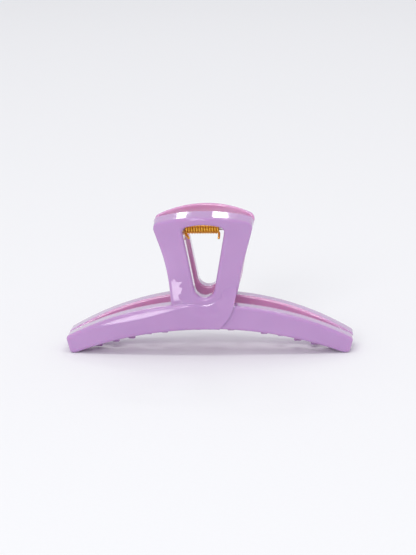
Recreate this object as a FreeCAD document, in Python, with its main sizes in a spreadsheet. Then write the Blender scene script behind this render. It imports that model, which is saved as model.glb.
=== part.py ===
import FreeCAD, Part
import Sketcher

import math
import os

from FreeCAD import Vector

# Claw clip with two mirror-image plastic halves on one hinge pin, closed by a torsion spring.
# X runs along the clip, Y from the front half (-Y) to the back half (+Y), Z up.
# The origin is on the ground, midway between the four wing tips that the clip stands on.

SIZES = {
    # overall
    "clip_length": 131.6,         # over the wing tips
    "clip_height": 66.4,          # ground to the crest of the handle
    "half_depth": 14.2,           # mid-plane to the outer face at the middle
    "tip_depth": 8.3,             # mid-plane to the outer face at the wing tips
    "closed_gap": 0.5,            # between the two halves' wing tips
    "wing_thickness": 7.2,        # outer to inner face at the middle
    # handle faces
    "handle_flare": 1.7,          # how far the handle's crest leans outwards
    "handle_thickness": 8.0,      # at the crest
    "handle_bow_radius": 46.0,    # the handle's curve seen from above, at its crest
    "crest_drop": 2.0,            # how much lower the crest's outer edge is than its inner edge
    "crest_rise": 5.8,            # crest's middle above its corners
    # wings, seen from the front
    "wing_top_height": 24.8,
    "wing_underside_height": 12.4,
    "tip_top_height": 7.4,
    "foot_length": 2.6,           # flat stretch under each tip
    "tip_overhang": 1.9,          # top corner of a tip beyond its foot
    # handle outline, seen from the front
    "waist_width": 30.6,
    "waist_height": 24.0,
    "handle_width": 45.6,
    "handle_corner_round": 3.4,
    "handle_offset": -1.1,        # the handle's middle from the clip's middle
    # opening in the handle
    "opening_bottom": 27.2,
    "opening_drop": 5.5,          # opening's upper edge below the crest's middle
    "opening_bottom_round": 4.7,
    "opening_top_width": 19.4,
    "opening_corner_round": 2.6,
    "opening_arch": 1.9,          # rise of the opening's upper edge
    # ribbon that runs from the left wing over the right wing into the right leg
    "ribbon_step": 1.1,           # its face stands this far in front of the other wing's
    "ribbon_overhang": 0.9,       # its upper edge stands this far above the other wing's
    # edges
    "outer_round": 1.5,
    "inner_round": 0.9,
    "corner_round": 1.8,
    # hinge
    "hinge_drop": 10.0,           # hinge axis below the crest's middle
    "pin_radius": 1.0,
    "pin_clearance": 0.05,
    "lug_wall": 2.05,             # round the pin's hole
    "lug_width": 2.8,
    "lug_clearance": 0.4,
    "lug_inset": 10.6,            # middle of the clip to the first lug
    # spring
    "wire_radius": 0.56,
    "coil_clearance": 0.53,       # between the pin and the coil's inside
    "coil_turns": 13,
    "coil_gap": 0.08,             # between one turn and the next
    "coil_start": -9.6,           # its left end from the handle's middle
    "tail_length": 3.6,
    # teeth
    "tooth_pitch": 15.3,
    "tooth_width": 5.2,
    "tooth_tip_width": 3.2,
    "tooth_root_height": 6.4,
    "tooth_drop": 3.7,            # tip below the wing's lower edge
    "tooth_reach": 0.05,          # tip beyond the mid-plane, as a share of the half gap
    "tooth_round": 0.7,
    "tooth_tip_flat": 0.3,
    "front_tooth_shift": 0.627,   # first tooth right of the middle, in pitches
    "back_tooth_shift": 0.127,    # half a pitch on, so that the rows pass between each other
    "ground_clearance": 0.8,
}

FLARE_START = 1.8                 # the handle leans outwards from this many waist heights up
# Height above the waist and reach beyond it, as shares of the handle's rise and flare.
# The right leg draws in below the waist, where the ribbon crosses the right wing.
LEFT_SIDE = [(-0.15, 0.0), (0.2, 0.08), (0.45, 0.27), (0.72, 0.66), (0.94, 1.06), (1.4, 1.35)]
RIGHT_SIDE = [(-0.15, -0.62), (0.0, -0.31), (0.2, 0.01), (0.45, 0.25), (0.72, 0.6), (1.0, 0.95), (1.4, 1.1)]
HINGE_CELLS = "(Sizes.clip_height - Sizes.hinge_drop)"
COIL_RADIUS_CELLS = "(Sizes.pin_radius + Sizes.coil_clearance + Sizes.wire_radius)"
COIL_PITCH_CELLS = "(2 * Sizes.wire_radius + Sizes.coil_gap)"
MARGIN = 20.0                     # how far cutting shapes run past the part
FEW = 1.0                         # how far joined shapes run into each other
JOIN_TOLERANCE = 0.001

doc = FreeCAD.newDocument("ClawClip")


def make_sheet():
    sheet = doc.addObject("Spreadsheet::Sheet", "Sizes")
    for row, (name, value) in enumerate(SIZES.items(), start=1):
        sheet.set(f"A{row}", name)
        sheet.set(f"B{row}", str(value))
        sheet.setAlias(f"B{row}", name)
    doc.recompute()
    return sheet


sheet = make_sheet()


def size(name):
    return float(sheet.get(name))


HALF_LENGTH = size("clip_length") / 2
FOOT_END = HALF_LENGTH - size("tip_overhang")
FOOT_START = FOOT_END - size("foot_length")
HANDLE_X = size("handle_offset")
HINGE_Z = size("clip_height") - size("hinge_drop")
HINGE = Vector(HANDLE_X, 0, HINGE_Z)
OPENING_TOP = size("clip_height") - size("opening_drop")
HOLE_RADIUS = size("pin_radius") + size("pin_clearance")
LUG_RADIUS = HOLE_RADIUS + size("lug_wall")


def smooth(low, high, value):
    share = min(max((value - low) / (high - low), 0.0), 1.0)
    return share * share * (3 - 2 * share)


def arch_radius(half_chord, rise):
    return (half_chord * half_chord + rise * rise) / (2 * rise)


def bow(x, z):
    """How far the handle's corners curve back towards the mid-plane."""
    share = smooth(size("waist_height"), size("clip_height"), z)
    return share * (x - HANDLE_X) ** 2 / (2 * size("handle_bow_radius"))


def outer_depth(x, z):
    taper = (size("half_depth") - size("tip_depth")) * (x / HALF_LENGTH) ** 2
    lean = size("handle_flare") * smooth(size("waist_height") * FLARE_START, size("clip_height"), z)
    return size("half_depth") - taper + lean - bow(x, z)


def inner_depth(x, z):
    middle_gap = size("half_depth") - size("wing_thickness")
    taper = (middle_gap - size("closed_gap") / 2) * (x / HALF_LENGTH) ** 2
    top_gap = size("half_depth") + size("handle_flare") - size("handle_thickness")
    lean = (top_gap - middle_gap) * smooth(size("waist_height") * FLARE_START, size("clip_height"), z)
    return middle_gap - taper + lean - bow(x, z)


def underside_radius():
    return arch_radius(FOOT_START, size("wing_underside_height"))


def underside_height(x):
    radius = underside_radius()
    return size("wing_underside_height") - radius + math.sqrt(radius * radius - x * x)


def curved_block(depth, columns, rows, reach):
    """Everything behind the surface y = -depth(x, z)."""
    low_x = -HALF_LENGTH - MARGIN
    low_z = -MARGIN
    step_x = -2 * low_x / (columns - 1)
    step_z = (size("clip_height") + 2 * MARGIN) / (rows - 1)
    grid = []
    for i in range(columns):
        line = []
        for j in range(rows):
            x = low_x + i * step_x
            z = low_z + j * step_z
            line.append(Vector(x, -depth(x, z), z))
        grid.append(line)
    surface = Part.BSplineSurface()
    surface.interpolate(grid)
    return surface.toShape().extrude(Vector(0, reach, 0))


def skin(step):
    """The curved layer that a half is cut from, with its outer face moved forward by step(x, z)."""
    def stepped(x, z):
        return outer_depth(x, z) + step(x, z)
    outer = curved_block(stepped, 17, 28, 4 * size("half_depth"))
    inner = curved_block(inner_depth, 17, 28, 8 * size("half_depth"))
    return outer.cut(inner)


def prism(edges, direction=None):
    """A slab through the front half, from an outline drawn in the X-Z plane."""
    direction = direction or Vector(0, 1, 0)
    reach = size("half_depth") + MARGIN
    face = Part.Face(Part.Wire(Part.__sortEdges__(edges)))
    slab = face.extrude(direction * (2 * reach))
    slab.translate(direction * -reach)
    return slab


def polygon_prism(points):
    corners = [Vector(x, 0, z) for x, z in points]
    return prism(Part.makePolygon(corners + corners[:1]).Edges)


def round_corners(solid, radius, wanted):
    """Rounds the edges that run through from the outer to the inner face where wanted(x, z) says."""
    chosen = []
    for edge in solid.Edges:
        middle = edge.CenterOfMass
        through = abs(edge.Vertexes[0].Y - edge.Vertexes[-1].Y) > size("wing_thickness") / 2
        if through and wanted(middle.x, middle.z):
            chosen.append(edge)
    return solid.makeFillet(radius, chosen)


def wing_band(side, overhang):
    """One wing seen from the front: between two arches, cut off at the tip."""
    top = size("wing_top_height") - size("ribbon_overhang") + overhang
    tip_top = size("tip_top_height") - size("ribbon_overhang") + overhang
    top_radius = arch_radius(HALF_LENGTH, top - tip_top)
    low_radius = underside_radius()
    reach = size("half_depth") + MARGIN
    across = Vector(0, 1, 0)
    start = Vector(0, -reach, top - top_radius)
    upper = Part.makeCylinder(top_radius, 2 * reach, start, across)
    start = Vector(0, -reach, size("wing_underside_height") - low_radius)
    lower = Part.makeCylinder(low_radius, 2 * reach, start, across)
    past_middle = -side * 2 * FEW
    end = polygon_prism([
        (past_middle, 0),
        (side * FOOT_END, 0),
        (side * HALF_LENGTH, tip_top),
        (side * (HALF_LENGTH + size("tip_overhang")), 2 * tip_top),
        (side * HALF_LENGTH, size("clip_height")),
        (past_middle, size("clip_height")),
    ])
    return upper.cut(lower).common(end)


def at_tip(x, z):
    return abs(x) > FOOT_START + FEW


def spline(points):
    curve = Part.BSplineCurve()
    curve.interpolate([Vector(x, 0, z) for x, z in points])
    return curve.toShape()


def line(start, end):
    return Part.makeLine(Vector(start[0], 0, start[1]), Vector(end[0], 0, end[1]))


def handle_side(side, shares):
    """Points up one side of the handle, from the waist to above the crest."""
    waist = size("waist_width") / 2
    flare = size("handle_width") / 2 - waist
    rise = size("clip_height") - size("crest_rise") - size("waist_height")
    return [(side * (waist + flare * out), size("waist_height") + rise * up) for up, out in shares]


def handle_slab():
    left = handle_side(-1, LEFT_SIDE)
    right = handle_side(1, RIGHT_SIDE)
    bottom = size("wing_underside_height") + 2 * FEW
    over = size("clip_height") + MARGIN
    edges = [
        spline(left),
        spline(right),
        line(left[-1], (left[-1][0], over)),
        line((left[-1][0], over), (right[-1][0], over)),
        line((right[-1][0], over), right[-1]),
        line(left[0], (left[0][0], bottom)),
        line((left[0][0], bottom), (right[0][0], bottom)),
        line((right[0][0], bottom), right[0]),
    ]
    slab = prism(edges).common(crest_slab())
    slab.translate(Vector(HANDLE_X, 0, 0))
    return slab


def crest_slab():
    """Cuts the handle's crest: an arch that slopes down towards the outer face."""
    middle = size("clip_height")
    corner = middle - size("crest_rise")
    half = size("handle_width") / 2
    radius = arch_radius(half, size("crest_rise"))
    wide = half + MARGIN / 2
    end = middle - radius + math.sqrt(radius * radius - wide * wide)
    arch = Part.Arc(Vector(-wide, 0, end), Vector(0, 0, middle), Vector(wide, 0, end)).toShape()
    floor = -MARGIN
    edges = [arch, line((-wide, end), (-wide, floor)), line((-wide, floor), (wide, floor)),
             line((wide, floor), (wide, end))]
    slope = size("crest_drop") / size("handle_thickness")
    slab = prism(edges, Vector(0, 1, slope))
    inner_edge = size("half_depth") + size("handle_flare") - size("handle_thickness")
    slab.translate(Vector(0, 0, slope * inner_edge))
    return slab


def opening_side():
    """Where the opening's round bottom runs over into its straight side, and the side's upper end."""
    radius = size("opening_bottom_round")
    middle = size("opening_bottom") + radius
    half = size("opening_top_width") / 2
    shoulder = OPENING_TOP - size("opening_arch")
    reach = math.hypot(half, shoulder - middle)
    lean = math.atan2(half, shoulder - middle) - math.asin(radius / reach)
    foot = (radius * math.cos(lean), middle - radius * math.sin(lean))
    return foot, (half, shoulder)


def opening_slab():
    foot, top = opening_side()
    bottom = Part.Arc(Vector(-foot[0], 0, foot[1]), Vector(0, 0, size("opening_bottom")),
                      Vector(foot[0], 0, foot[1])).toShape()
    arch = Part.Arc(Vector(-top[0], 0, top[1]), Vector(0, 0, OPENING_TOP),
                    Vector(top[0], 0, top[1])).toShape()
    slab = prism([bottom, arch, line(foot, top), line((-foot[0], foot[1]), (-top[0], top[1]))])
    slab.translate(Vector(HANDLE_X, 0, 0))
    return slab


def on_surface(edge, depth):
    for share in (0.2, 0.5, 0.8):
        first, last = edge.ParameterRange
        point = edge.valueAt(first + share * (last - first))
        if abs(point.y + depth(point.x, point.z)) > 0.06:
            return False
    return True


def round_rims(solid, step):
    """Rounds the rims of the outer and the inner face."""
    def stepped(x, z):
        return outer_depth(x, z) + step(x, z)
    outer = [edge for edge in solid.Edges if on_surface(edge, stepped)]
    solid = solid.makeFillet(size("outer_round"), outer)
    inner = [edge for edge in solid.Edges if on_surface(edge, inner_depth)]
    return solid.makeFillet(size("inner_round"), inner)


def no_step(x, z):
    return 0.0


def handle_and_right_wing():
    def at_crest(x, z):
        return z > HINGE_Z and abs(x) > size("opening_top_width")

    def at_opening(x, z):
        return z > HINGE_Z and abs(x) < size("opening_top_width")
    slab = handle_slab().fuse(wing_band(1, 0.0))
    slab = slab.cut(opening_slab())
    solid = slab.removeSplitter().common(skin(no_step))
    solid = round_corners(solid, size("handle_corner_round"), at_crest)
    solid = round_corners(solid, size("opening_corner_round"), at_opening)
    solid = round_corners(solid, size("corner_round"), at_tip)
    return round_rims(solid, no_step)


def ribbon_step(x, z):
    """Full height on the left wing and at the underside, sinking into the right leg's face above.

    It holds out longest along the leg's outer edge, where the ribbon leaves the right wing.
    """
    waist = size("waist_width") / 2
    low = (size("waist_height") + size("wing_underside_height")) / 2 + FEW
    high = size("opening_bottom") - FEW
    right = smooth(HANDLE_X + waist * 0.45, HANDLE_X + waist * 0.85, x)
    low += right * (size("wing_top_height") - low)
    high += right * (high - size("wing_underside_height")) * 0.75
    across = smooth(HANDLE_X - waist * 0.75, HANDLE_X + waist * 0.1, x)
    up = smooth(low, high, z)
    return size("ribbon_step") * (1 - 1.25 * across * up)


def ribbon_border():
    """From the right leg's outer edge down across the right wing to the underside."""
    waist = size("waist_width") / 2
    low = size("wing_underside_height")
    drop = size("waist_height") - low
    shares = [(0.99, 2.2), (0.96, 1.75), (0.94, 1.4), (0.88, 0.98), (0.75, 0.54), (0.53, 0.16), (0.34, -0.2)]
    return [(HANDLE_X + waist * out - FEW / 4, low + drop * up) for out, up in shares]


def ribbon():
    """Left wing and the lower part of the right leg, in one sweep."""
    band = wing_band(-1, size("ribbon_overhang"))
    border = ribbon_border()
    leg_left = HANDLE_X + size("opening_bottom_round") + 2 * FEW
    left = -size("waist_width") / 4
    low = size("wing_underside_height") - 2 * FEW
    high = size("wing_top_height") - 4 * FEW
    edges = [
        spline(border),
        line(border[0], (leg_left + FEW, border[0][1])),
        line((leg_left + FEW, border[0][1]), (leg_left, size("opening_bottom"))),
        line((leg_left, size("opening_bottom")), (left, high)),
        line((left, high), (left, low)),
        line((left, low), border[-1]),
    ]
    radius = underside_radius()
    reach = size("half_depth") + MARGIN
    start = Vector(0, -reach, size("wing_underside_height") - radius)
    under = Part.makeCylinder(radius, 2 * reach, start, Vector(0, 1, 0))
    slab = band.fuse(prism(edges).cut(under)).removeSplitter()
    solid = slab.common(skin(ribbon_step))

    def at_crotch(x, z):
        return left < x < leg_left + 2 * FEW and z > high + FEW
    solid = round_corners(solid, size("corner_round"), at_crotch)
    solid = round_corners(solid, size("corner_round"), at_tip)
    return round_rims(solid, ribbon_step)


def tooth(x):
    """One claw, curving from the wing's inner face down past the mid-plane."""
    low = underside_height(x)
    gap = inner_depth(x, low)
    root = -gap - 2 * FEW
    top = low + size("tooth_root_height")
    base = low + FEW / 2
    tip_y = gap * size("tooth_reach")
    drop = min(size("tooth_drop"), low - size("ground_clearance"))
    tip_z = low - drop
    blunt = 2 * size("tooth_round") + size("tooth_tip_flat")
    upper = Part.BezierCurve()
    upper.setPoles([Vector(x, root, top), Vector(x, tip_y - gap / 3, top), Vector(x, tip_y, tip_z)])
    lower = Part.BezierCurve()
    lower.setPoles([Vector(x, tip_y - blunt, tip_z), Vector(x, tip_y - blunt - gap / 4, base),
                    Vector(x, root, base)])
    edges = [upper.toShape(), lower.toShape(),
             Part.makeLine(Vector(x, tip_y, tip_z), Vector(x, tip_y - blunt, tip_z)),
             Part.makeLine(Vector(x, root, base), Vector(x, root, top))]
    face = Part.Face(Part.Wire(Part.__sortEdges__(edges)))
    claw = face.extrude(Vector(size("tooth_width"), 0, 0))
    claw.translate(Vector(-size("tooth_width") / 2, 0, 0))
    wide = size("tooth_width") / 2
    narrow = size("tooth_tip_width") / 2
    plan = Part.makePolygon([Vector(x - wide, root, 0), Vector(x + wide, root, 0),
                             Vector(x + narrow, tip_y, 0), Vector(x - narrow, tip_y, 0),
                             Vector(x - wide, root, 0)])
    claw = claw.common(Part.Face(plan).extrude(Vector(0, 0, size("clip_height"))))
    rims = [edge for edge in claw.Edges if edge.CenterOfMass.y > root + FEW / 2]
    return claw.makeFillet(size("tooth_round"), rims)


def lug(x, side):
    """A hinge ear that reaches from the handle's inner face round the pin."""
    wide = size("lug_width")
    round_end = Part.makeCylinder(LUG_RADIUS, wide, HINGE + Vector(x, 0, 0), Vector(1, 0, 0))
    reach = inner_depth(HINGE.x + x + side * wide, HINGE_Z) + 2 * FEW
    corner = HINGE + Vector(x, -reach, -LUG_RADIUS)
    arm = Part.makeBox(wide, reach, 2 * LUG_RADIUS, corner)
    return round_end.fuse(arm)


def lug_starts(row):
    """Left ends of a half's two lugs: row 0 next to the spring, row 1 outside row 0."""
    wide = size("lug_width")
    start = size("lug_inset") + row * (wide + size("lug_clearance"))
    return [-start - wide, start]


def pin_hole():
    long = size("clip_length")
    return Part.makeCylinder(HOLE_RADIUS, long, HINGE - Vector(long / 2, 0, 0), Vector(1, 0, 0))


def tooth_places(shift):
    """As many as fit between the two feet, at one pitch."""
    pitch = size("tooth_pitch")
    furthest = FOOT_START - size("tooth_width") / 2 - FEW
    count = math.ceil(furthest / pitch)
    places = [(number + shift) * pitch for number in range(-count - 1, count + 1)]
    return [x for x in places if abs(x) < furthest]


def half(lug_row, tooth_shift):
    body = handle_and_right_wing().fuse([ribbon()], JOIN_TOLERANCE)
    pieces = [tooth(x) for x in tooth_places(tooth_shift)]
    pieces += [lug(start, math.copysign(1, start)) for start in lug_starts(lug_row)]
    return body.fuse(pieces).cut(pin_hole())


def add_half(name, shape):
    piece = doc.addObject("Part::Feature", name)
    piece.Label = name
    piece.Shape = shape
    piece.Placement = FreeCAD.Placement()
    return piece


def hinge_pin():
    """A plain axle with chamfered ends, as a padded circle."""
    reach = "(Sizes.lug_inset + 2 * Sizes.lug_width + Sizes.lug_clearance)"
    body = doc.addObject("PartDesign::Body", "hinge_pin")
    body.Label = "hinge_pin"
    plane = [item for item in body.Origin.OriginFeatures if item.Role == "YZ_Plane"][0]
    sketch = body.newObject("Sketcher::SketchObject", "pin_section")
    sketch.AttachmentSupport = [(plane, "")]
    sketch.MapMode = "FlatFace"
    sketch.addGeometry(Part.Circle(Vector(0, 0, 0), Vector(0, 0, 1), size("pin_radius")), False)
    sketch.addConstraint(Sketcher.Constraint("Coincident", 0, 3, -1, 1))
    sketch.addConstraint(Sketcher.Constraint("Radius", 0, size("pin_radius")))
    sketch.setExpression("Constraints[1]", "Sizes.pin_radius")
    doc.recompute()
    pad = body.newObject("PartDesign::Pad", "pin_pad")
    pad.Profile = sketch
    pad.Midplane = True
    pad.setExpression("Length", f"2 * {reach}")
    doc.recompute()
    chamfer = body.newObject("PartDesign::Chamfer", "pin_chamfer")
    ends = [f"Edge{i + 1}" for i, edge in enumerate(pad.Shape.Edges) if edge.Closed]
    chamfer.Base = (pad, ends)
    chamfer.setExpression("Size", "Sizes.pin_radius / 4")
    body.Tip = chamfer
    body.setExpression("Placement.Base.x", "Sizes.handle_offset")
    body.setExpression("Placement.Base.z", HINGE_CELLS)
    doc.recompute()
    return body


def spring_tail(name, x, direction):
    """A short straight wire end that leaves the coil's underside."""
    tail = doc.addObject("Part::Cylinder", name)
    tail.setExpression("Radius", "Sizes.wire_radius")
    tail.setExpression("Height", "Sizes.tail_length")
    turn = FreeCAD.Rotation(Vector(0, 0, 1), direction)
    tail.Placement = FreeCAD.Placement(Vector(0, 0, 0), turn)
    tail.setExpression("Placement.Base.x", x)
    tail.setExpression("Placement.Base.z", f"{HINGE_CELLS} - {COIL_RADIUS_CELLS}")
    return tail


def torsion_spring():
    """A close-wound coil about the pin with a wire tail at each end."""
    helix = doc.addObject("Part::Helix", "spring_path")
    helix.setExpression("Pitch", COIL_PITCH_CELLS)
    helix.setExpression("Height", f"{COIL_PITCH_CELLS} * Sizes.coil_turns")
    helix.setExpression("Radius", COIL_RADIUS_CELLS)
    wire = doc.addObject("Part::Circle", "spring_wire")
    wire.setExpression("Radius", "Sizes.wire_radius")
    wire.Placement = FreeCAD.Placement(Vector(0, 0, 0), FreeCAD.Rotation(Vector(1, 0, 0), 90))
    wire.setExpression("Placement.Base.x", COIL_RADIUS_CELLS)
    doc.recompute()
    coil = doc.addObject("Part::Sweep", "spring_coil")
    coil.Sections = [wire]
    coil.Spine = (helix, [f"Edge{i + 1}" for i in range(len(helix.Shape.Edges))])
    coil.Solid = True
    coil.Frenet = True
    # the coil's own Z axis turns onto +X, and the wire's start to the coil's underside
    coil.Placement = FreeCAD.Placement(Vector(0, 0, 0), FreeCAD.Rotation(Vector(0, 1, 0), 90))
    coil.setExpression("Placement.Base.x", "Sizes.handle_offset + Sizes.coil_start")
    coil.setExpression("Placement.Base.z", HINGE_CELLS)
    start = "Sizes.handle_offset + Sizes.coil_start"
    end = f"{start} + {COIL_PITCH_CELLS} * Sizes.coil_turns"
    left = spring_tail("spring_left_tail", start, Vector(0.62, -0.35, -0.7))
    right = spring_tail("spring_right_tail", end, Vector(0.05, -0.9, -0.45))
    spring = doc.addObject("Part::MultiFuse", "torsion_spring")
    spring.Shapes = [coil, left, right]
    spring.Label = "torsion_spring"
    doc.recompute()
    return spring


def check(parts):
    for item in doc.Objects:
        if "Invalid" in item.State or "Error" in item.State:
            raise RuntimeError(f"{item.Label} failed")
    for part in parts:
        if part.Shape.isNull() or not part.Shape.isValid():
            raise RuntimeError(f"{part.Label} has no valid shape")


def main():
    front = add_half("front_half", half(0, size("front_tooth_shift")))
    mirrored = half(1, size("back_tooth_shift")).mirror(Vector(0, 0, 0), Vector(0, 1, 0))
    back = add_half("back_half", mirrored)
    parts = [front, back, hinge_pin(), torsion_spring()]
    check(parts)
    os.makedirs("parts", exist_ok=True)
    for part in parts:
        box = part.Shape.BoundBox
        print(part.Label, len(part.Shape.Solids), "solid", round(part.Shape.Volume, 1), "mm3", box)
        part.Shape.exportStep(f"parts/{part.Label}.step")


main()
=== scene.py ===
import math

import bpy
from mathutils import Matrix, Vector


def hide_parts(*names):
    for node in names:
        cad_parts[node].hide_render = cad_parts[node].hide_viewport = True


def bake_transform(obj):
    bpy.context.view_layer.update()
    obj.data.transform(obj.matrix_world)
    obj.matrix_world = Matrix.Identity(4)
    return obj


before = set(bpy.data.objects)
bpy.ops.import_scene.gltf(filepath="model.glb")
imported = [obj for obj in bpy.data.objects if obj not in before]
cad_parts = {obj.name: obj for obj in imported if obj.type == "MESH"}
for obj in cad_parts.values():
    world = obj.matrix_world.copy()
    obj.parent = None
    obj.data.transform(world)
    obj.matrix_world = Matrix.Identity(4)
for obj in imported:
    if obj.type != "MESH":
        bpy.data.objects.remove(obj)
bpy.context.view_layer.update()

MM = 0.001
TARGET = Vector((-0.5, 0.0, 33.2)) * MM
CAMERA_AZIMUTH = math.radians(5.0)
CAMERA_ELEVATION = math.radians(14.2)
CAMERA_ROLL = math.radians(1.3)
CAMERA_DISTANCE = 0.9
CAMERA_LENS = 127.85

# the spring, in millimetres, as the CAD has it
HINGE_Z = 56.4
COIL_START = -10.7
COIL_TURNS = 13
COIL_PITCH = 1.2
COIL_RADIUS = 2.09
WIRE_RADIUS = 0.56
TAIL_LENGTH = 3.6
LEFT_TAIL = Vector((0.62, -0.35, -0.7)).normalized()

# how finely the wire is drawn
POINTS_PER_TURN = 40
POINTS_IN_BEND = 14
POINTS_IN_STUB = 8
POINTS_IN_HOOK = 18
WIRE_SIDES = 18
DOME_DEGREES = (20, 40, 60, 78)
DOME_APEX = 0.02                    # share of the radius that the last point stands past the end

# the wire's two ends, in millimetres
LEFT_BEND = 1.1                     # wire used up in the bend out of the coil
HOOK_RADIUS = 0.7
HOOK_TURN = math.radians(170)
HOOK_DRIFT = 0.004                  # to the right, from one point of the hook to the next
STUB_LENGTH = 3.2
STUB_DRIFT = 0.03

# where light catches the moulded faces, in metres
WING_ARCH = -3.66                   # the left wing's middle line: z = top + arch * x * x
WING_MIDDLE = 0.0186
WING_HALF_HEIGHT = 0.0058
CROWN_CENTRE = 1.58                 # the crown is widest at x = -centre / spread
CROWN_SPREAD = 48.0
CROWN_SHAPE = 0.45
SINK_LEFT = (-0.0182, -0.0174)      # each edge of the sink mark, from nothing to full depth
SINK_RIGHT = (-0.0116, -0.0124)
SINK_TOP = (0.0352, 0.0338)
SINK_BOTTOM = (0.0240, 0.0246)
SINK_WOBBLE = 0.007
FACE_LEAN = 0.36                    # upward tilt of the normal on the crown and in the sink mark

# base colours, each a range that a slow noise moves through
LILAC_OUTSIDE = (0.432, 0.236, 0.500), (0.474, 0.268, 0.540)
# the inner colour is painted light: a rosy tint for the shade and the light through the plastic
# on faces that look inwards
LILAC_PAINTED_ROSY_LIGHT = (0.620, 0.300, 0.520), (0.660, 0.335, 0.560)
GOLD = (0.93, 0.50, 0.04), (1.0, 0.64, 0.10)
STEEL = (0.50, 0.50, 0.52), (0.66, 0.66, 0.68)
PAPER = (0.835, 0.835, 0.85), (0.845, 0.845, 0.86)

# softboxes: name, direction from the object, distance, width and height in metres, radiance
SOFTBOXES = [
    ("window_left", (-0.285, 0.760, 0.590), 2.0, 0.42, 0.11, 8.0),
    ("window_right", (0.135, 0.736, 0.672), 2.0, 0.54, 0.11, 8.0),
    ("overhead", (-0.02, -0.16, 1.0), 1.6, 1.7, 0.14, 8.0),
    ("front_left", (-0.205, -0.89, 0.41), 2.2, 0.9, 0.52, 8.0),
]
WORLD_COLOUR = (0.97, 0.975, 1.0, 1.0)
WORLD_STRENGTH = 0.80
FLOOR_HALF = 4.0


# ---------------------------------------------------------------- materials

class Nodes:
    """A short way to write a node tree."""

    def __init__(self, material):
        material.use_nodes = True
        self.tree = material.node_tree
        self.tree.nodes.clear()

    def add(self, kind, **values):
        node = self.tree.nodes.new(kind)
        for name, value in values.items():
            if hasattr(node, name) and name not in node.inputs:
                setattr(node, name, value)
            else:
                node.inputs[name].default_value = value
        return node

    def link(self, source, target):
        self.tree.links.new(source, target)

    def noise(self, vector, scale, detail=3.0, roughness=0.5):
        node = self.add("ShaderNodeTexNoise")
        node.inputs["Scale"].default_value = scale
        node.inputs["Detail"].default_value = detail
        node.inputs["Roughness"].default_value = roughness
        self.link(vector, node.inputs["Vector"])
        return node.outputs["Fac"]

    def ramp(self, value, low, high, at=(0.3, 0.7)):
        node = self.add("ShaderNodeValToRGB")
        first, last = node.color_ramp.elements
        first.position, last.position = at
        first.color = (*low, 1.0)
        last.color = (*high, 1.0)
        self.link(value, node.inputs["Fac"])
        return node.outputs["Color"]

    def spread(self, value, low, high):
        node = self.add("ShaderNodeMapRange")
        node.inputs["To Min"].default_value = low
        node.inputs["To Max"].default_value = high
        self.link(value, node.inputs["Value"])
        return node.outputs["Result"]

    def mix(self, share, low, high):
        node = self.add("ShaderNodeMix")
        node.data_type = "RGBA"
        self.link(share, node.inputs["Factor"])
        self.link(low, node.inputs["A"])
        self.link(high, node.inputs["B"])
        return node.outputs["Result"]

    def calc(self, operation, *values, clamp=False):
        node = self.add("ShaderNodeMath")
        node.operation = operation
        node.use_clamp = clamp
        for place, value in zip(node.inputs, values):
            if isinstance(value, (int, float)):
                place.default_value = value
            else:
                self.link(value, place)
        return node.outputs["Value"]

    def parts(self, vector):
        node = self.add("ShaderNodeSeparateXYZ")
        self.link(vector, node.inputs["Vector"])
        return node.outputs["X"], node.outputs["Y"], node.outputs["Z"]

    def step(self, value, low, high):
        """0 below low, 1 above high, smooth between them; the other way round if low > high."""
        node = self.add("ShaderNodeMapRange")
        node.interpolation_type = "SMOOTHSTEP"
        ends = (low, high, 0.0, 1.0) if low < high else (high, low, 1.0, 0.0)
        for name, end in zip(("From Min", "From Max", "To Min", "To Max"), ends):
            node.inputs[name].default_value = end
        self.link(value, node.inputs["Value"])
        return node.outputs["Result"]

    def bump(self, height, distance, strength, normal=None):
        node = self.add("ShaderNodeBump")
        node.inputs["Strength"].default_value = strength
        node.inputs["Distance"].default_value = distance
        self.link(height, node.inputs["Height"])
        if normal is not None:
            self.link(normal, node.inputs["Normal"])
        return node.outputs["Normal"]

    def finish(self, shader):
        output = self.add("ShaderNodeOutputMaterial")
        self.link(shader.outputs["BSDF"], output.inputs["Surface"])


def crown(n, x, z):
    """1 on the rolled-over upper part of the left wing's face, which is widest halfway along."""
    square = n.calc("MULTIPLY", x, x)
    middle = n.calc("MULTIPLY_ADD", square, WING_ARCH, WING_MIDDLE)
    height = n.calc("DIVIDE", n.calc("SUBTRACT", z, middle), WING_HALF_HEIGHT)
    off = n.calc("MULTIPLY_ADD", x, CROWN_SPREAD, CROWN_CENTRE)
    border = n.calc("MULTIPLY", n.calc("MULTIPLY", off, off), CROWN_SHAPE)
    band = n.step(n.calc("SUBTRACT", height, border), 0.20, 0.46)
    ends = n.calc("MULTIPLY", n.step(height, 1.5, 1.15), n.step(x, -0.006, -0.014))
    return n.calc("MULTIPLY", band, ends)


def sink(n, x, z, wobble):
    """1 in the shallow sink mark at the foot of the left leg."""
    edge = n.calc("MULTIPLY_ADD", wobble, SINK_WOBBLE, -SINK_WOBBLE / 2)
    across = n.calc("ADD", x, edge)
    up = n.calc("ADD", z, edge)
    sides = n.calc("MULTIPLY", n.step(across, *SINK_LEFT), n.step(across, *SINK_RIGHT))
    ends = n.calc("MULTIPLY", n.step(up, *SINK_TOP), n.step(z, *SINK_BOTTOM))
    return n.calc("MULTIPLY", sides, ends)


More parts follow.
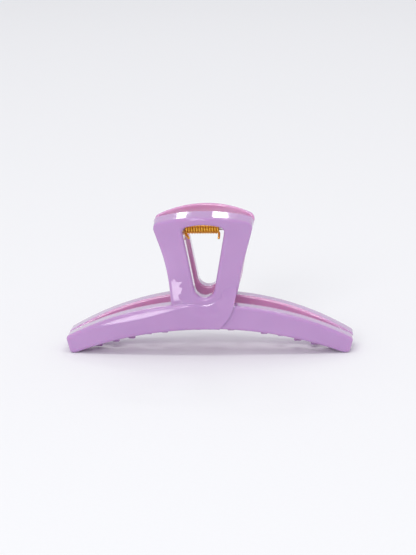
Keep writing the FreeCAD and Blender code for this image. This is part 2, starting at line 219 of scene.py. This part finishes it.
def moulded_normal(n, where, wobble):
    """The surface normal with the moulding's crown and sink mark, on the outer faces only."""
    x, y, z = n.parts(where.outputs["Object"])
    facing = n.parts(where.outputs["Normal"])[1]
    outer = n.calc("MULTIPLY", n.calc("MULTIPLY", facing, y), 160.0, clamp=True)
    lean = n.calc("ADD", n.calc("MULTIPLY", crown(n, x, z), FACE_LEAN),
                  n.calc("MULTIPLY", sink(n, x, z, wobble), FACE_LEAN))
    lift = n.add("ShaderNodeCombineXYZ")
    n.link(n.calc("MULTIPLY", lean, outer), lift.inputs["Z"])
    total = n.add("ShaderNodeVectorMath")
    total.operation = "ADD"
    n.link(where.outputs["Normal"], total.inputs[0])
    n.link(lift.outputs["Vector"], total.inputs[1])
    turn = n.add("ShaderNodeVectorTransform")
    turn.vector_type = "NORMAL"
    turn.convert_from = "OBJECT"
    turn.convert_to = "WORLD"
    n.link(total.outputs["Vector"], turn.inputs["Vector"])
    return turn.outputs["Vector"]


def painted_rosy_mask(n, where):
    """1 on faces that look towards the clip's mid-plane, where a rosy tint for the shade and the
    light through the plastic is painted, 0 on the others.
    """
    depth = n.parts(where.outputs["Object"])[1]
    facing = n.parts(where.outputs["Normal"])[1]
    return n.calc("MULTIPLY", n.calc("MULTIPLY", facing, depth), -330.0, clamp=True)


def lilac_plastic():
    """Glossy, slightly milky injection-moulded plastic, with painted rosy light on the faces that
    look inwards: a pinker colour for the shade and the light through the plastic there.
    """
    material = bpy.data.materials.new("lilac_gloss_plastic")
    n = Nodes(material)
    where = n.add("ShaderNodeTexCoord")
    place = where.outputs["Object"]
    shader = n.add("ShaderNodeBsdfPrincipled")
    cloud = n.noise(place, 42.0, 2.0, 0.4)
    outside = n.ramp(cloud, *LILAC_OUTSIDE)
    # painted rosy light on the inward faces, standing in for their shade and the light through
    # the plastic
    painted_rosy_light = n.ramp(cloud, *LILAC_PAINTED_ROSY_LIGHT)
    n.link(n.mix(painted_rosy_mask(n, where), outside, painted_rosy_light), shader.inputs["Base Color"])
    rub = n.noise(place, 260.0, 4.0, 0.6)
    n.link(n.spread(rub, 0.05, 0.12), shader.inputs["Roughness"])
    flow = n.noise(place, 70.0, 1.5, 0.4)
    grain = n.noise(place, 1500.0, 3.0, 0.6)
    ripple = n.noise(place, 330.0, 2.0, 0.5)
    soft = n.bump(flow, 0.0006, 0.35, moulded_normal(n, where, ripple))
    n.link(n.bump(grain, 0.00002, 0.2, soft), shader.inputs["Normal"])
    shader.inputs["Subsurface Weight"].default_value = 0.45
    shader.inputs["Subsurface Radius"].default_value = (1.0, 0.42, 0.62)
    shader.inputs["Subsurface Scale"].default_value = 0.004
    shader.inputs["IOR"].default_value = 1.5
    shader.inputs["Coat Weight"].default_value = 1.0
    shader.inputs["Coat Roughness"].default_value = 0.03
    n.finish(shader)
    return material


def gold_wire():
    """Gold-plated spring wire with faint drawing marks."""
    material = bpy.data.materials.new("gold_spring_wire")
    n = Nodes(material)
    place = n.add("ShaderNodeTexCoord").outputs["Object"]
    shader = n.add("ShaderNodeBsdfPrincipled")
    tint = n.noise(place, 900.0, 2.0, 0.5)
    n.link(n.ramp(tint, *GOLD), shader.inputs["Base Color"])
    marks = n.noise(place, 4000.0, 2.0, 0.5)
    n.link(n.spread(marks, 0.16, 0.30), shader.inputs["Roughness"])
    n.link(n.bump(marks, 0.00001, 0.25), shader.inputs["Normal"])
    shader.inputs["Metallic"].default_value = 0.9
    n.finish(shader)
    return material


def pin_steel():
    """Drawn steel, brushed round by handling."""
    material = bpy.data.materials.new("drawn_steel")
    n = Nodes(material)
    place = n.add("ShaderNodeTexCoord").outputs["Object"]
    stretch = n.add("ShaderNodeMapping")
    stretch.inputs["Scale"].default_value = (60.0, 2200.0, 2200.0)
    n.link(place, stretch.inputs["Vector"])
    shader = n.add("ShaderNodeBsdfPrincipled")
    marks = n.noise(stretch.outputs["Vector"], 1.0, 3.0, 0.6)
    n.link(n.ramp(marks, *STEEL), shader.inputs["Base Color"])
    n.link(n.spread(marks, 0.22, 0.38), shader.inputs["Roughness"])
    n.link(n.bump(marks, 0.00001, 0.3), shader.inputs["Normal"])
    shader.inputs["Metallic"].default_value = 1.0
    n.finish(shader)
    return material


def paper_white():
    """Matt seamless studio paper."""
    material = bpy.data.materials.new("studio_paper")
    n = Nodes(material)
    place = n.add("ShaderNodeTexCoord").outputs["Object"]
    shader = n.add("ShaderNodeBsdfPrincipled")
    fibre = n.noise(place, 700.0, 3.0, 0.6)
    n.link(n.ramp(fibre, *PAPER), shader.inputs["Base Color"])
    shader.inputs["Roughness"].default_value = 0.9
    shader.inputs["Specular IOR Level"].default_value = 0.1
    n.finish(shader)
    return material


# ---------------------------------------------------------------- pieces

def mesh_object(name, points, faces, material):
    mesh = bpy.data.meshes.new(name)
    mesh.from_pydata([tuple(p) for p in points], [], faces)
    mesh.update()
    for polygon in mesh.polygons:
        polygon.use_smooth = True
    mesh.materials.append(material)
    item = bpy.data.objects.new(name, mesh)
    bpy.context.scene.collection.objects.link(item)
    return item


def spring_path():
    """The coil's centre line from left to right, in millimetres."""
    coil = []
    for i in range(COIL_TURNS * POINTS_PER_TURN + 1):
        turn = 2 * math.pi * i / POINTS_PER_TURN
        along = COIL_START + COIL_PITCH * i / POINTS_PER_TURN
        coil.append(Vector((along, COIL_RADIUS * math.sin(turn),
                            HINGE_Z - COIL_RADIUS * math.cos(turn))))
    return coil


def left_tail(start, leave):
    """Eases from the coil's own direction into a straight wire end; outermost point first."""
    corner = start + leave * (LEFT_BEND * 0.5)
    finish = start + leave * (LEFT_BEND * 0.35) + LEFT_TAIL * (LEFT_BEND * 0.65)
    points = []
    for i in range(1, POINTS_IN_BEND + 1):
        t = i / POINTS_IN_BEND
        points.append((1 - t) ** 2 * start + 2 * t * (1 - t) * corner + t * t * finish)
    for i in range(1, POINTS_IN_STUB + 1):
        points.append(finish + LEFT_TAIL * ((TAIL_LENGTH - LEFT_BEND) * i / POINTS_IN_STUB))
    return points[::-1]


def right_tail(start):
    """A hook under the coil that ends in a short straight stub towards the front."""
    points = []
    for i in range(1, POINTS_IN_HOOK + 1):
        turn = HOOK_TURN * i / POINTS_IN_HOOK
        points.append(start + Vector((HOOK_DRIFT * i, HOOK_RADIUS * math.sin(turn),
                                      HOOK_RADIUS * (math.cos(turn) - 1))))
    stub = Vector((STUB_DRIFT, math.cos(HOOK_TURN), -math.sin(HOOK_TURN)))
    finish = points[-1]
    for i in range(1, POINTS_IN_STUB + 1):
        points.append(finish + stub * (STUB_LENGTH * i / POINTS_IN_STUB))
    return points


def wire_rings(path, radius):
    """Centre, tangent, side and radius of each ring along the wire, with a dome at each end."""
    last = len(path) - 1
    tangents = [(path[min(i + 1, last)] - path[max(i - 1, 0)]).normalized()
                for i in range(len(path))]
    side = tangents[0].orthogonal().normalized()
    rings = []
    for point, tangent in zip(path, tangents):
        side = (side - tangent * side.dot(tangent)).normalized()
        rings.append((point, tangent, side.copy(), radius))

    def dome(ring, way):
        point, tangent, side, wide = ring
        angles = [math.radians(degrees) for degrees in DOME_DEGREES]
        return [(point + tangent * (way * wide * math.sin(a)), tangent, side, wide * math.cos(a))
                for a in angles]
    return dome(rings[0], -1)[::-1] + rings + dome(rings[-1], 1)


def tube(name, path, radius, material, sides=WIRE_SIDES):
    """A round wire along a path, with domed ends."""
    rings = wire_rings([Vector(p) for p in path], radius)
    points = []
    for centre, tangent, side, wide in rings:
        other = tangent.cross(side)
        for k in range(sides):
            angle = 2 * math.pi * k / sides
            points.append(centre + side * (wide * math.cos(angle))
                          + other * (wide * math.sin(angle)))
    faces = []
    for i in range(len(rings) - 1):
        for k in range(sides):
            a = i * sides + k
            b = i * sides + (k + 1) % sides
            faces.append((a, b, b + sides, a + sides))
    head = len(points)
    points.append(rings[0][0] - rings[0][1] * (radius * DOME_APEX))
    tail = len(points)
    points.append(rings[-1][0] + rings[-1][1] * (radius * DOME_APEX))
    base = (len(rings) - 1) * sides
    for k in range(sides):
        faces.append((head, (k + 1) % sides, k))
        faces.append((tail, base + k, base + (k + 1) % sides))
    return mesh_object(name, [p * MM for p in points], faces, material)


def add_spring():
    coil = spring_path()
    left = left_tail(coil[0], (coil[0] - coil[1]).normalized())
    right = right_tail(coil[-1])
    spring = tube("coil_spring", left + coil + right, WIRE_RADIUS, gold_wire())
    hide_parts("torsion_spring")
    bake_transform(spring)
    return spring


def paint_frame():
    lilac = lilac_plastic()
    finishes = {"front_half": lilac, "back_half": lilac, "hinge_pin": pin_steel()}
    for name, finish in finishes.items():
        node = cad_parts[name]
        for place in node.material_slots:
            place.material = finish


# ---------------------------------------------------------------- studio

def add_floor():
    half = FLOOR_HALF
    points = [(-half, -half, 0), (half, -half, 0), (half, half, 0), (-half, half, 0)]
    floor = mesh_object("studio_floor", points, [(0, 1, 2, 3)], paper_white())


def soft_light(name, direction, distance, wide, high, strength):
    """A rectangular softbox that faces the object. strength is its radiance."""
    light = bpy.data.lights.new(name, "AREA")
    light.shape = "RECTANGLE"
    light.size = wide
    light.size_y = high
    light.energy = strength * math.pi * wide * high
    item = bpy.data.objects.new(name, light)
    direction = Vector(direction).normalized()
    item.location = TARGET + direction * distance
    item.rotation_mode = "QUATERNION"
    item.rotation_quaternion = direction.to_track_quat("Z", "Y")
    bpy.context.scene.collection.objects.link(item)
    return item


def add_lights():
    world = bpy.data.worlds.new("studio_world")
    world.use_nodes = True
    back = world.node_tree.nodes["Background"]
    back.inputs["Color"].default_value = WORLD_COLOUR
    back.inputs["Strength"].default_value = WORLD_STRENGTH
    bpy.context.scene.world = world
    for softbox in SOFTBOXES:
        soft_light(*softbox)


def add_camera():
    back = Vector((math.sin(CAMERA_AZIMUTH) * math.cos(CAMERA_ELEVATION),
                   -math.cos(CAMERA_AZIMUTH) * math.cos(CAMERA_ELEVATION),
                   math.sin(CAMERA_ELEVATION)))
    right = Vector((math.cos(CAMERA_AZIMUTH), math.sin(CAMERA_AZIMUTH), 0.0))
    up = back.cross(right)
    turned_right = math.cos(CAMERA_ROLL) * right - math.sin(CAMERA_ROLL) * up
    turned_up = math.sin(CAMERA_ROLL) * right + math.cos(CAMERA_ROLL) * up
    data = bpy.data.cameras.new("camera")
    data.lens = CAMERA_LENS
    data.clip_start = 0.01
    data.clip_end = 50.0
    camera = bpy.data.objects.new("camera", data)
    bpy.context.scene.collection.objects.link(camera)
    turn = Matrix((turned_right, turned_up, back)).transposed().to_4x4()
    camera.matrix_world = Matrix.Translation(TARGET + back * CAMERA_DISTANCE) @ turn
    bpy.context.scene.camera = camera


paint_frame()
add_spring()
add_floor()
add_lights()
add_camera()
bpy.context.scene.view_settings.view_transform = "Standard"
bpy.context.view_layer.update()
